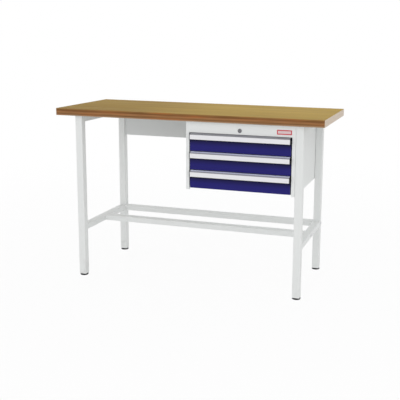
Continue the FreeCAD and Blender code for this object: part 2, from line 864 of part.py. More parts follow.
def make_lock_rod():
    body = lock_body("lock_rod")
    arm_front = bar_front() - d.crank_bar_gap - d.crank_thickness
    rod = new_sketch(body, "XZ_Plane", d.lock_barrel_length)
    draw_circle(rod, zero, zero, d.rod_diameter)
    pad(body, rod, arm_front - d.lock_barrel_length, reverse=True)
    arm = new_sketch(body, "XZ_Plane", arm_front)
    reach = d.crank_offset
    wide = d.rod_diameter
    draw_outline(arm, [(-wide, zero), (zero, -wide), (reach + wide, reach), (reach, reach + wide)])
    pad(body, arm, d.crank_thickness, reverse=True)
    pin = new_sketch(body, "XZ_Plane", arm_front + d.crank_thickness)
    draw_circle(pin, reach, reach, d.pin_diameter)
    pad(body, pin, d.crank_bar_gap + d.bar_thickness * 2, reverse=True)


# Bar with a slot for the crank's pin and a hook over the rear wall of each drawer
def make_lock_bar():
    body = cabinet_body("lock_bar", cabinet_middle, bar_front())
    axis = d.cabinet_height - d.fascia_height + d.lock_level
    slot = axis + d.crank_offset
    room = d.pin_diameter / 2 + d.pin_slot_gap
    far = d.crank_offset * 2 ** 0.5
    face = new_sketch(body, "XZ_Plane")
    half = d.bar_width / 2
    draw_box(face, -half, half, drawer_floor("bottom") + hook_foot() - d.bar_foot, slot + d.bar_head)
    draw_box(face, d.crank_offset - room, far + room, slot - room, slot + room)
    pad(body, face, d.bar_thickness, reverse=True)
    hooks = new_sketch(body, "YZ_Plane", -d.hook_width / 2)
    wall_back = d.front_depth + box_depth - bar_front()
    lip_back = wall_back - d.box_sheet - d.hook_wall_gap
    lip_front = lip_back - d.hook_thickness
    for name in drawers:
        foot = drawer_floor(name) + hook_foot()
        arm = drawer_floor(name) + hook_arm()
        top = arm + d.hook_thickness
        draw_outline(hooks, [(lip_front, foot), (lip_back, foot), (lip_back, arm),
                             (zero, arm), (zero, top), (lip_front, top)])
    pad(body, hooks, d.hook_width)


def hook_foot():
    return box_top + d.hook_clear


def hook_arm():
    return box_top + d.crank_offset * 2 + d.guide_gap


def make_lock_guides():
    body = cabinet_body("lock_bar_guides", cabinet_middle)
    inside = d.bar_width / 2 + d.guide_gap
    outside = inside + d.guide_sheet
    web_back = bar_front() - d.guide_gap
    web_front = web_back - d.guide_sheet
    for name in ("middle", "top"):
        plan = new_sketch(body, "XY_Plane", drawer_floor(name) + d.guide_level)
        draw_outline(plan, [(-outside, back_face), (-outside, web_front), (outside, web_front),
                            (outside, back_face), (inside, back_face), (inside, web_back),
                            (-inside, web_back), (-inside, back_face)])
        pad(body, plan, d.guide_height)


def make_cabinet():
    for side in sides:
        make_cabinet_side(side)
        make_uprights(side)
        make_outer_slides(side)
    make_cabinet_panels()
    make_fascia()


def make_drawers():
    for name in drawers:
        make_drawer_box(name)
        make_drawer_front(name)
        make_handle(name)
        make_drawer_slides(name)
        make_drawer_screws(name)


def check_document():
    faults = [item.Label for item in doc.Objects if {"Invalid", "Error"} & set(item.State)]
    faults += [body.Label for body in pieces if body.Shape.isNull() or not body.Shape.isValid()]
    if faults:
        raise RuntimeError("failed: " + ", ".join(faults))


def write_parts():
    os.makedirs("parts", exist_ok=True)
    for body in pieces:
        body.Shape.exportStep(f"parts/{body.Label}.step")
        print(body.Label, len(body.Shape.Solids), round(body.Shape.Volume))


make_worktop()
make_side_frames()
make_stretchers()
make_apron()
make_frame_bolts()
make_wood_screws()
make_leg_inserts()
make_feet()
make_cabinet()
make_drawers()
make_lock()
make_lock_bar()
make_lock_guides()
doc.recompute()
check_document()
write_parts()
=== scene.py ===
import json
import math

import bmesh
import bpy
import numpy as np
from mathutils import Matrix, Vector


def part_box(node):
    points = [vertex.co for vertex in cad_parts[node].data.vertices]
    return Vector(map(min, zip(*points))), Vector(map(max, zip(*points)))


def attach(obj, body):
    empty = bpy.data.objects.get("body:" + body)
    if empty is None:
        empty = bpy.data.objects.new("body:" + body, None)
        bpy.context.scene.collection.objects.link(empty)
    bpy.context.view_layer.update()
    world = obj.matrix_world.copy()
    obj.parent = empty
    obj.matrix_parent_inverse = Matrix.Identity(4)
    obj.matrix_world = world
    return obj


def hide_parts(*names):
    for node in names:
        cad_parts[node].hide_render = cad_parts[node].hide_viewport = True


# Workbench with a hanging unit of three drawers: finishes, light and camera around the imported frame.
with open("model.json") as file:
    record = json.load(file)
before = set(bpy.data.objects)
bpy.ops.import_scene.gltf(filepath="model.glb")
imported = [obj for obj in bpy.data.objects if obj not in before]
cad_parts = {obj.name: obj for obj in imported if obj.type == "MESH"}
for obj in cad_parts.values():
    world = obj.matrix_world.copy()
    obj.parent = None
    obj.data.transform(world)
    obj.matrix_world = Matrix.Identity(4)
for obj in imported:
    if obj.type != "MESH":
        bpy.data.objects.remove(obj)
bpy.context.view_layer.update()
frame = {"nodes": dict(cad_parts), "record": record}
nodes = frame["nodes"]
print("frame loaded,", len(nodes), "nodes")


class Signal:
    # One output of a node. Sums written on it add Math nodes.
    def __init__(self, finish, socket):
        self.finish = finish
        self.socket = socket

    def math(self, operation, first, second=None):
        return self.finish.node("ShaderNodeMath", {"operation": operation}, {0: first, 1: second})

    def __add__(self, other):
        return self.math("ADD", self, other)

    def __radd__(self, other):
        return self.math("ADD", other, self)

    def __sub__(self, other):
        return self.math("SUBTRACT", self, other)

    def __rsub__(self, other):
        return self.math("SUBTRACT", other, self)

    def __mul__(self, other):
        return self.math("MULTIPLY", self, other)

    def __rmul__(self, other):
        return self.math("MULTIPLY", other, self)

    def __truediv__(self, other):
        return self.math("DIVIDE", self, other)

    def __pow__(self, other):
        return self.math("POWER", self, other)

    def __abs__(self):
        return self.math("ABSOLUTE", self)

    def lesser(self, other):
        return self.math("MINIMUM", self, other)

    def greater(self, other):
        return self.math("MAXIMUM", self, other)

    def wave(self):
        return self.math("SINE", self)


raggedLine = {"scale": 160, "detail": 3}  # how fine the ragged border of a worn edge is


class Finish:
    # A node tree being filled in. node() makes any node and hands back one of its outputs.
    def __init__(self, name=None, tree=None):
        if tree is None:
            self.material = bpy.data.materials.new(name)
            self.material.use_nodes = True
            tree = self.material.node_tree
        self.tree = tree
        self.tree.nodes.clear()

    def node(self, kind, settings=None, sockets=None, output=0):
        made = self.tree.nodes.new(kind)
        for key, value in (settings or {}).items():
            if key == "stops":
                self.fillRamp(made.color_ramp, value)
            else:
                setattr(made, key, value)
        for key, value in (sockets or {}).items():
            if isinstance(value, Signal):
                self.tree.links.new(value.socket, made.inputs[key])
            elif value is not None:
                made.inputs[key].default_value = value
        return Signal(self, made.outputs[output]) if made.outputs else None

    def fillRamp(self, ramp, stops):
        while len(ramp.elements) < len(stops):
            ramp.elements.new(1.0)
        for element, (place, colour) in zip(ramp.elements, stops):
            element.position = place
            element.color = colour

    def place(self, stretch=(1, 1, 1), shift=(0, 0, 0)):
        spot = self.node("ShaderNodeTexCoord", output="Object")
        return self.node("ShaderNodeMapping", None, {"Vector": spot, "Scale": stretch, "Location": shift})

    def axes(self):
        spot = self.node("ShaderNodeTexCoord", output="Object")
        return [self.node("ShaderNodeSeparateXYZ", None, {0: spot}, axis) for axis in "XYZ"]

    def noise(self, scale, detail=2.0, stretch=(1, 1, 1), shift=(0, 0, 0)):
        sockets = {"Vector": self.place(stretch, shift), "Scale": scale, "Detail": detail}
        return self.node("ShaderNodeTexNoise", None, sockets, "Fac")

    def mix(self, share, first, second):
        return self.node("ShaderNodeMix", {"data_type": "RGBA"}, {0: share, 6: first, 7: second}, 2)

    def step(self, value, low, high):
        sockets = {"Value": value, "From Min": low, "From Max": high}
        return self.node("ShaderNodeMapRange", {"interpolation_type": "SMOOTHSTEP"}, sockets, "Result")

    def rise(self, value, low, high, share):
        return self.step(value, low, high) * share

    def fall(self, value, low, high, share):
        return (1 - self.step(value, low, high)) * share

    def vary(self, middle, *parts):
        # each noise moves the value about its middle by that noise's spread
        moves = [(noise - 0.5) * spread for noise, spread in parts]
        return sum(moves[1:], moves[0]) + middle

    def bump(self, height, strength, distance):
        sockets = {"Height": height, "Strength": strength, "Distance": distance}
        return self.node("ShaderNodeBump", None, sockets)

    def edges(self, box, width):
        # the middle one of the three distances to the box's faces is small only near its edges
        low, high = box
        dx, dy, dz = [(v - low[i]).lesser(high[i] - v) for i, v in enumerate(self.axes())]
        near = dx.lesser(dy).greater(dx.greater(dy).lesser(dz))
        ragged = near + (self.noise(raggedLine["scale"], raggedLine["detail"]) - 0.5) * width
        return 1 - self.step(ragged, 0.0, width)

    def done(self, **sockets):
        named = {key.replace("_", " "): value for key, value in sockets.items()}
        shader = self.node("ShaderNodeBsdfPrincipled", None, named)
        self.node("ShaderNodeOutputMaterial", None, {"Surface": shader})
        return self.material


def rgb(red, green, blue):
    return (red, green, blue, 1.0)


# Top: veneered face, a front edge of plies and pale end faces
topWood = {
    "faceLight": rgb(0.550, 0.380, 0.097), "faceDark": rgb(0.290, 0.180, 0.044),
    "vein": rgb(0.270, 0.160, 0.040), "veinShare": 0.42,
    "edge": [(0.0, rgb(0.450, 0.310, 0.195)), (0.11, rgb(0.420, 0.255, 0.140)),
             (0.25, rgb(0.216, 0.108, 0.044)), (0.38, rgb(0.325, 0.160, 0.066)),
             (0.52, rgb(0.420, 0.206, 0.088)), (0.70, rgb(0.222, 0.098, 0.034)),
             (0.84, rgb(0.285, 0.140, 0.050)), (0.95, rgb(0.350, 0.200, 0.080))],
    "edgeRed": rgb(0.430, 0.140, 0.040), "plyDark": rgb(0.125, 0.055, 0.016), "plies": 13,
    "end": rgb(0.720, 0.620, 0.520), "endDark": rgb(0.570, 0.460, 0.360),
    "under": rgb(0.410, 0.380, 0.345), "underDark": rgb(0.330, 0.300, 0.270),
    "worn": rgb(0.520, 0.390, 0.190), "wornWidth": 0.0018, "wornShare": 0.16,
    "easing": 0.0016, "easingEnd": 0.3,
    "roughness": 0.62, "roughPores": 0.14, "roughBroad": 0.16, "specular": 0.05,
    "relief": (0.22, 0.0005), "reliefPores": 0.5, "reliefPlies": 0.5, "reliefRings": 0.3,
    # how fine each pattern is along the top, across it and upwards
    "broad": (0.7, 5.0, 5.0), "rings": (1.3, 34.0, 34.0), "pores": (22.0, 820.0, 820.0),
    "flame": (2.2, 15.0, 15.0), "flameShift": (0.4, 0.2, 0), "wander": (9, 9, 60),
    "streaks": (5.0, 5.0, 260.0), "bold": (6.0, 6.0, 120.0), "boldShift": (3.1, 0, 0),
    "dashes": (60.0, 60.0, 380.0),
    # where each mark begins and ends, and its share
    # the first two are painted shade: the face darker towards its left end and its front
    "paintedShadeAlong": (-0.45, 0.24, 0.50), "paintedShadeAcross": (-0.30, 0.02, 0.16), "poreMarks": (0.30, 0.46, 0.8),
    "plyLines": (0.0, 0.42, 0.35), "boldLines": (0.32, 0.52, 0.38), "redLines": (0.50, 0.64, 0.6),
    "endLines": (0.0, 0.35, 0.35),
    # how much each pattern does
    "lightBroad": 0.3, "lightFlame": 0.7, "lightRings": 0.6, "lightMiddle": 0.03,
    "bandPitch": 95, "bandRings": 16, "bandBroad": 9, "bandSharp": 3, "bandShare": 0.45,
    "plyWander": 0.9, "edgeStreaks": 0.14, "redBold": 0.6, "endDashes": 0.6}


def makeTopWood(name, box):
    make, t = Finish(name), topWood
    low, high = box
    x, y, z = make.axes()
    broad = make.noise(1.0, 3, t["broad"])
    rings = make.noise(1.0, 4, t["rings"])
    pores = make.noise(1.0, 2, t["pores"])
    flame = make.noise(1.0, 3, t["flame"], t["flameShift"])
    # face: painted shade, lighter away from its left end and its front; with flames, dark bands and pores
    light = make.rise(x, *t["paintedShadeAlong"]) + make.rise(y, *t["paintedShadeAcross"]) + broad * t["lightBroad"]
    light = light + make.vary(t["lightMiddle"], (flame, t["lightFlame"]), (rings, t["lightRings"]))
    bands = (y * t["bandPitch"] + (rings - 0.5) * t["bandRings"] + broad * t["bandBroad"]).wave()
    bands = (bands * 0.5 + 0.5) ** t["bandSharp"]
    veins = bands * t["bandShare"] + make.fall(pores, *t["poreMarks"])
    face = make.mix(light, t["faceDark"], t["faceLight"])
    face = make.mix(veins * t["veinShare"], face, t["vein"])
    # front edge: the plies lie one over another, each streaked along its length
    share = (z - low.z) / (high.z - low.z)
    wander = (make.noise(1.0, 2, t["wander"]) - 0.5) * t["plyWander"]
    lines = (share * (t["plies"] * math.pi) + wander).wave() ** 2
    streaks = make.noise(1.0, 4, t["streaks"])
    bold = make.noise(1.0, 3, t["bold"], t["boldShift"])
    ramp = share + (streaks - 0.5) * t["edgeStreaks"]
    edge = make.node("ShaderNodeValToRGB", {"stops": t["edge"]}, {0: ramp})
    edge = make.mix(make.fall(lines, *t["plyLines"]), edge, t["plyDark"])
    edge = make.mix(make.fall(bold, *t["boldLines"]), edge, t["plyDark"])
    reds = bold * t["redBold"] + streaks * (1 - t["redBold"])
    edge = make.mix(make.rise(reds, *t["redLines"]), edge, t["edgeRed"])
    # end faces: cut fibres, short dashes along the plies
    dashes = (make.noise(1.0, 3, t["dashes"]) - 0.5) * t["endDashes"]
    end = make.mix(make.fall(lines, *t["endLines"]) + dashes, t["end"], t["endDark"])
    # the finishes meet within the eased edges
    near, far = t["easing"], t["easing"] * t["easingEnd"]
    onTop = make.step(z, high.z - near, high.z - far)
    onUnder = 1 - make.step(z, low.z + far, low.z + near)
    onEnd = make.step(abs(x), high.x - near, high.x - far)
    colour = make.mix(onEnd, edge, end)
    colour = make.mix(onUnder, colour, make.mix(broad, t["underDark"], t["under"]))
    colour = make.mix(onTop, colour, face)
    colour = make.mix(make.edges(box, t["wornWidth"]) * t["wornShare"], colour, t["worn"])
    rough = make.vary(t["roughness"], (pores, t["roughPores"]), (broad, t["roughBroad"]))
    relief = pores * t["reliefPores"] + lines * (1 - onTop) * t["reliefPlies"] + rings * t["reliefRings"]
    return make.done(Base_Color=colour, Roughness=rough, Specular_IOR_Level=t["specular"],
                     Normal=make.bump(relief, *t["relief"]))


# Off-white powder coat of the frame, the drawer unit's shell and the boxes; the apron's is greyer, partly its
# own greyer coat and partly painted shade under the top
framePaint = {
    "pale": rgb(0.862, 0.878, 0.870), "dull": rgb(0.806, 0.822, 0.814), "cloudScale": 3.2,
    # the apron's grey: partly a greyer coat, partly painted shade under the top
    "apronGreyAndShade": rgb(0.560, 0.585, 0.595), "apronGreyAndShadeShare": 0.28,
    "bare": rgb(0.905, 0.910, 0.905), "wear": 0.0035, "wearShare": 0.5,
    "scuff": rgb(0.520, 0.520, 0.510), "scuffScale": 34, "scuffMarks": (0.5, 0.7),
    "scuffHeight": (0.012, 0.16, 0.3), "speckScale": 95, "specks": (0.66, 0.74, 0.05),
    "roughness": 0.44, "roughCloud": 0.16, "roughPeel": 0.10, "specular": 0.10,
    "peelScale": 620, "relief": (0.16, 0.0004)}


def makePaint(name, box):
    make, p = Finish(name), framePaint
    cloud = make.noise(p["cloudScale"], 4)
    peel = make.noise(p["peelScale"], 2)
    colour = make.mix(cloud, p["dull"], p["pale"])
    # the apron is greyer: partly a greyer coat, partly painted shade under the top
    if name.startswith("rear_apron"):
        colour = make.mix(p["apronGreyAndShadeShare"], colour, p["apronGreyAndShade"])
    colour = make.mix(make.edges(box, p["wear"]) * p["wearShare"], colour, p["bare"])
    # shoes and brooms scuff the lowest part
    height = make.axes()[2]
    scuffs = make.step(make.noise(p["scuffScale"], 4), *p["scuffMarks"])
    scuffs = scuffs * make.fall(height, *p["scuffHeight"])
    specks = make.rise(make.noise(p["speckScale"], 3), *p["specks"])
    colour = make.mix(scuffs + specks, colour, p["scuff"])
    rough = make.vary(p["roughness"], (cloud, p["roughCloud"]), (peel, p["roughPeel"]))
    return make.done(Base_Color=colour, Roughness=rough, Specular_IOR_Level=p["specular"],
                     Normal=make.bump(peel, *p["relief"]))


# Dark blue powder coat of the drawer fronts
drawerBlue = {
    "deep": rgb(0.0115, 0.0092, 0.138), "full": rgb(0.0170, 0.0138, 0.176), "cloudScale": 5.5,
    "bare": rgb(0.070, 0.066, 0.270), "wear": 0.0024, "wearShare": 0.6,
    "dust": rgb(0.120, 0.120, 0.220), "dustScale": 230, "dustSpecks": (0.70, 0.80, 0.12),
    # painted shade below the handle's lip
    "lipShade": rgb(0.0020, 0.0016, 0.020), "lipShadeShare": 0.94, "lipShadeTop": 0.059, "lipShadeFoot": 0.024,
    "lipShadeRagged": 0.006, "lipShadePower": 1.4,
    "roughness": 0.48, "roughCloud": 0.20, "roughPeel": 0.12, "specular": 0.18,
    "peelScale": 700, "relief": (0.18, 0.0004)}


def makeBlue(name, box):
    make, b = Finish(name), drawerBlue
    cloud = make.noise(b["cloudScale"], 4)
    peel = make.noise(b["peelScale"], 2)
    colour = make.mix(cloud, b["deep"], b["full"])
    colour = make.mix(make.edges(box, b["wear"]) * b["wearShare"], colour, b["bare"])
    dust = make.rise(make.noise(b["dustScale"], 2), *b["dustSpecks"])
    colour = make.mix(dust, colour, b["dust"])
    # painted shade darkens the coat behind and below the handle's lip
    height = make.axes()[2] + (cloud - 0.5) * b["lipShadeRagged"]
    lipShade = (height - (box[0].z + b["lipShadeFoot"])) / (b["lipShadeTop"] - b["lipShadeFoot"])
    lipShade = lipShade.greater(0.0).lesser(1.0) ** b["lipShadePower"]
    colour = make.mix(lipShade * b["lipShadeShare"], colour, b["lipShade"])
    rough = make.vary(b["roughness"], (cloud, b["roughCloud"]), (peel, b["roughPeel"]))
    return make.done(Base_Color=colour, Roughness=rough, Specular_IOR_Level=b["specular"],
                     Normal=make.bump(peel, *b["relief"]))


# Bare metals: extruded handles, rolled slides, zinc-plated fasteners and the plated lock
metals = {
    "handle_metal": {
        "bright": rgb(0.835, 0.833, 0.855), "dull": rgb(0.765, 0.763, 0.785),
        "worn": rgb(0.880, 0.880, 0.890), "roughness": 0.44,
        "lines": (2.0, 700.0, 700.0), "relief": (0.04, 0.0003)},
    "slide_steel": {
        "bright": rgb(0.640, 0.645, 0.655), "dull": rgb(0.500, 0.505, 0.515),
        "worn": rgb(0.780, 0.780, 0.785), "roughness": 0.34,
        "lines": (700.0, 3.0, 700.0), "relief": (0.12, 0.0003)},
    "zinc_steel": {
        "bright": rgb(0.790, 0.795, 0.805), "dull": rgb(0.640, 0.645, 0.655),
        "worn": rgb(0.860, 0.860, 0.865), "roughness": 0.36,
        "lines": (260.0, 260.0, 260.0), "relief": (0.15, 0.0003)},
    "lock_chrome": {
        "bright": rgb(0.250, 0.250, 0.262), "dull": rgb(0.160, 0.160, 0.170),
        "worn": rgb(0.420, 0.420, 0.430), "roughness": 0.26,
        "lines": (420.0, 60.0, 420.0), "relief": (0.08, 0.0003)}}
metalSkin = {"cloudScale": 18, "cloudShare": 0.6, "wear": 0.0016, "wearShare": 0.6,
             "roughLines": 0.18, "roughCloud": 0.12}

# Duller satin channel for labels on the sloping top of each handle, with a pale bluish painted highlight
# along its upper edge
labelChannel = {
    "drop": 0.0098, "blur": 0.0008, "metal": 0.20,
    "dull": rgb(0.350, 0.350, 0.385), "bright": rgb(0.450, 0.450, 0.490),
    # a pale bluish painted highlight along the channel's upper edge
    "paintedHighlight": rgb(0.760, 0.790, 0.950), "paintedHighlightFoot": 0.0058, "paintedHighlightTop": 0.0022,
    # painted shade of the top handle's channel under the fascia
    "fasciaShade": rgb(0.080, 0.080, 0.088), "fasciaShadeShare": 0.38}


def makeChannel(make, name, top, lines):
    # where the channel is, and its colour there
    c, height = labelChannel, make.axes()[2]
    foot = top - c["drop"]
    channel = make.step(height, foot, foot + c["blur"])
    satin = make.mix(lines, c["dull"], c["bright"])
    if name.startswith("drawer_top"):
        # painted shade under the fascia darkens the top handle's channel, which gets no painted highlight
        return channel, make.mix(c["fasciaShadeShare"], satin, c["fasciaShade"])
    # painted highlight along the upper edge of the channel on the lower handles
    paintedHighlight = make.step(height, top - c["paintedHighlightFoot"], top - c["paintedHighlightTop"])
    return channel, make.mix(paintedHighlight, satin, c["paintedHighlight"])


def makeMetal(name, box, kind):
    make, m, skin = Finish(name), metals[kind], metalSkin
    cloud = make.noise(skin["cloudScale"], 4)
    lines = make.noise(1.0, 3, m["lines"])
    share = cloud * skin["cloudShare"] + lines * (1 - skin["cloudShare"])
    colour = make.mix(share, m["dull"], m["bright"])
    colour = make.mix(make.edges(box, skin["wear"]) * skin["wearShare"], colour, m["worn"])
    metal = 1.0
    if kind == "handle_metal":
        channel, satin = makeChannel(make, name, box[1].z, lines)
        colour = make.mix(channel, colour, satin)
        metal = 1 - channel * (1 - labelChannel["metal"])
    rough = make.vary(m["roughness"], (lines, skin["roughLines"]), (cloud, skin["roughCloud"]))
    return make.done(Base_Color=colour, Metallic=metal, Roughness=rough,
                     Normal=make.bump(lines, *m["relief"]))


# Moulded black plastics: handle caps and leg plugs, and the rubber of the feet
plastics = {
    "black_plastic": {
        "deep": rgb(0.0050, 0.0050, 0.0055), "pale": rgb(0.0110, 0.0110, 0.0120),
        "worn": rgb(0.050, 0.050, 0.052), "roughness": 0.46, "grain": 900},
    "foot_rubber": {
        "deep": rgb(0.0040, 0.0040, 0.0043), "pale": rgb(0.0090, 0.0090, 0.0095),
        "worn": rgb(0.040, 0.039, 0.038), "roughness": 0.66, "grain": 600}}
plasticSkin = {"cloudScale": 40, "wear": 0.0009, "wearShare": 0.35, "roughGrain": 0.20, "roughCloud": 0.14,
               "specular": 0.22, "relief": (0.2, 0.0003)}


def makePlastic(name, box, kind):
    make, p, skin = Finish(name), plastics[kind], plasticSkin
    cloud = make.noise(skin["cloudScale"], 4)
    grain = make.noise(p["grain"], 2)
    colour = make.mix(cloud, p["deep"], p["pale"])
    colour = make.mix(make.edges(box, skin["wear"]) * skin["wearShare"], colour, p["worn"])
    rough = make.vary(p["roughness"], (grain, skin["roughGrain"]), (cloud, skin["roughCloud"]))
    return make.done(Base_Color=colour, Roughness=rough, Specular_IOR_Level=skin["specular"],
                     Normal=make.bump(grain, *skin["relief"]))


def makeSlotFinish(slot, name, box):
    if slot == "top_wood":
        return makeTopWood(name, box)
    if slot == "frame_paint":
        return makePaint(name, box)
    if slot == "drawer_blue":
        return makeBlue(name, box)
    if slot in metals:
        return makeMetal(name, box, slot)
    return makePlastic(name, box, slot)


# every node takes the finish of its slot, fitted to its own box
slotOf = {row["node"]: row["material_slot"] for row in frame["record"]["subparts"]}
for nodeName, node in nodes.items():
    made = makeSlotFinish(slotOf[nodeName], nodeName + "_finish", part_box(nodeName))
    node.data.materials.clear()
    node.data.materials.append(made)
print("finishes made:", len(nodes))

# New pieces: closed surfaces on a grid of rings, put together as whole arrays
crispFrom = 38  # degrees between two faces from which their edge stays crisp


def ringShell(grid, loop=False):
    # neighbouring rings make quads; the end rings close on a middle point, or the last ring meets the first
    rows, columns = grid.shape[:2]
    row = np.arange(rows if loop else rows - 1)[:, None] * columns
    after = (row + columns) % (rows * columns)
    column = np.arange(columns)[None, :]
    beside = (column + 1) % columns
    quads = np.stack([row + column, row + beside, after + beside, after + column], -1).reshape(-1, 4)
    if loop:
        return grid.reshape(-1, 3), quads, np.zeros((0, 3), int)
    points = np.vstack([grid.reshape(-1, 3), grid[0].mean(0), grid[-1].mean(0)])
    around, last = np.arange(columns), (rows - 1) * columns
    first = np.stack([beside[0], around, np.full(columns, rows * columns)], 1)
    final = np.stack([around + last, beside[0] + last, np.full(columns, rows * columns + 1)], 1)
    return points, quads, np.vstack([first, final])


def gridBox(grid):
    return Vector(grid.reshape(-1, 3).min(0)), Vector(grid.reshape(-1, 3).max(0))


def addPiece(name, shells, finish, body, replaced=()):
    starts = np.cumsum([0] + [len(points) for points, quads, tris in shells])
    quads = np.vstack([part[1] + start for part, start in zip(shells, starts)])
    tris = np.vstack([part[2] + start for part, start in zip(shells, starts)])
    points = np.vstack([part[0] for part in shells])
    mesh = bpy.data.meshes.new(name)
    mesh.from_pydata(points.tolist(), [], quads.tolist() + tris.tolist())
    work = bmesh.new()
    work.from_mesh(mesh)
    bmesh.ops.recalc_face_normals(work, faces=work.faces[:])
    work.to_mesh(mesh)
    work.free()
    mesh.shade_smooth()
    mesh.set_sharp_from_angle(angle=math.radians(crispFrom))
    mesh.materials.append(finish)
    piece = bpy.data.objects.new(name, mesh)
    bpy.context.scene.collection.objects.link(piece)
    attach(piece, body)
    if replaced:
        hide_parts(*replaced)


def turned(profile, radii, place, out, side, sides):
    # a profile of radius and height turned about an axis; radii scales each row's radius round the turn
    angle = np.linspace(0, 2 * math.pi, sides, endpoint=False)
    profile = np.array(profile)
    out, side = np.array(out, float), np.array(side, float)
    other = np.cross(out, side)
    reach = profile[:, 0, None] * radii(angle, len(profile))
    flat = np.cos(angle)[:, None] * side + np.sin(angle)[:, None] * other
    return np.array(place) + reach[..., None] * flat + profile[:, 1, None, None] * out


# Button-head bolts and screws with hexagon sockets, in place of the plain heads of the frame's fasteners
buttonHeads = {
    "stretcher_bolts": {"head": 0.014, "height": 0.004, "shank": 0.008, "length": 0.054,
                        "socket": 0.005, "depth": 0.0026, "tip": 0.0009},
    "apron_bolts": {"head": 0.014, "height": 0.004, "shank": 0.008, "length": 0.014,
                    "socket": 0.005, "depth": 0.0026, "tip": 0.0009},
    "top_screws": {"head": 0.012, "height": 0.0035, "shank": 0.006, "length": 0.060,
                   "socket": 0.004, "depth": 0.0022, "tip": 0.0024}}
# rim, brim and tip are shares of the socket's width, the head's height and the shank's radius
headShape = {"rim": 0.66, "brim": 0.22, "tip": 0.72, "rimDrop": 0.0001, "ease": 0.0004,
             "domeSteps": 7, "sides": 36}
boltPairs = {"centre_stretcher": 0.012, "leg_rear_left": 0.009}  # half the distance between a pair's bolts


def buttonHead(kind, place, out, side):
    # socket floor, socket rim, a quarter ellipse for the dome, then the seat and the shank
    b, h = buttonHeads[kind], headShape
    rim, radius, stem, half = b["socket"] * h["rim"], b["head"] / 2, b["shank"] / 2, b["socket"] / 2
    bend = np.linspace(0, math.pi / 2, h["domeSteps"])
    socket = [(half, b["height"] - b["depth"]), (half, b["height"] - h["rimDrop"])]
    dome = np.stack([rim + (radius - rim) * np.sin(bend),
                     b["height"] * (h["brim"] + (1 - h["brim"]) * np.cos(bend))], 1)
    seat = [(radius, h["ease"]), (radius - h["ease"], 0.0)]
    shank = [(stem, 0.0), (stem, b["tip"] - b["length"]), (stem * h["tip"], -b["length"])]
    profile = np.vstack([socket, dome, seat, shank])

    def radii(angle, rows):
        hexagon = 1 / np.cos((angle % (math.pi / 3)) - math.pi / 6)
        return np.where(np.arange(rows)[:, None] < len(socket), hexagon, 1.0)
    return ringShell(turned(profile, radii, place, out, side, h["sides"]))


def addButtonHeads():
    low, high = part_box("stretcher_bolts")
    seat = high.x - buttonHeads["stretcher_bolts"]["height"]
    level = (low.z + high.z) / 2
    depths = []
    for node, half in boltPairs.items():
        near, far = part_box(node)
        middle = (near.y + far.y) / 2
        depths += [middle - half, middle + half]
    heads = {"stretcher_bolts": [((way * seat, y, level), (way, 0, 0), (0, 0, 1))
                                 for way in (-1, 1) for y in depths]}
    low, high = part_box("apron_bolts")
    inset = buttonHeads["apron_bolts"]["head"] / 2
    seat = high.x - buttonHeads["apron_bolts"]["length"]
    depth = (low.y + high.y) / 2
    heads["apron_bolts"] = [((way * seat, depth, z), (-way, 0, 0), (0, 0, 1))
                            for way in (-1, 1) for z in (low.z + inset, high.z - inset)]
    low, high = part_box("top_screws")
    seat = low.z + buttonHeads["top_screws"]["height"]
    inset = buttonHeads["top_screws"]["head"] / 2
    heads["top_screws"] = [((x, y, seat), (0, 0, -1), (1, 0, 0)) for x in (low.x + inset, high.x - inset)
                           for y in (low.y + inset, (low.y + high.y) / 2, high.y - inset)]
    for kind, places in heads.items():
        shells = [buttonHead(kind, place, out, side) for place, out, side in places]
        finish = makeMetal(kind + "_heads_finish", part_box(kind), "zinc_steel")
        addPiece(kind + "_heads", shells, finish, "bench", [kind])


addButtonHeads()

# Levelling feet: a ribbed pad with a chamfered sole on a threaded stud;
# hollow is a share of the pad's radius, collar and tip are shares of the stud's
levellingFoot = {
    "padHeight": 0.0087, "sole": 0.0012, "hollow": 0.62, "shoulder": 0.0022, "shoulderEase": (0.0006, 0.0008),
    "ribs": 28, "ribDepth": 0.00055, "sides": 112,
    "stud": 0.005, "collar": 1.5, "tip": 0.7, "tipHeight": 0.0006,
    "pitch": 0.0015, "threadDepth": 0.00085, "threadSlope": 1.15, "threadCrest": 0.08,
    "threadStart": 0.0002, "perTurn": 7,
    "seam": (0.0001, 0.0004), "cloudScale": 60,
    "dustHeight": (0.0005, 0.0035, 0.35), "dustMarks": (0.35, 0.7),
    "roughGrain": 0.20, "roughStud": 0.24, "specular": 0.05, "relief": (0.18, 0.0003)}


def makeFootFinish(name):
    # the pad is black, and the stud above it is zinc-plated
    make, f, p, m = Finish(name), levellingFoot, plastics["foot_rubber"], metals["zinc_steel"]
    height = make.axes()[2]
    seamFoot, seamTop = [f["padHeight"] + part for part in f["seam"]]
    stud = make.step(height, seamFoot, seamTop)
    cloud = make.noise(f["cloudScale"], 4)
    grain = make.noise(p["grain"], 2)
    dusty = make.fall(height, *f["dustHeight"]) * make.step(cloud, *f["dustMarks"])
    pad = make.mix(dusty, make.mix(cloud, p["deep"], p["pale"]), p["worn"])
    colour = make.mix(stud, pad, make.mix(cloud, m["dull"], m["bright"]))
    rough = make.vary(p["roughness"], (grain, f["roughGrain"])) - stud * f["roughStud"]
    return make.done(Base_Color=colour, Metallic=stud, Roughness=rough, Specular_IOR_Level=f["specular"],
                     Normal=make.bump(grain, *f["relief"]))


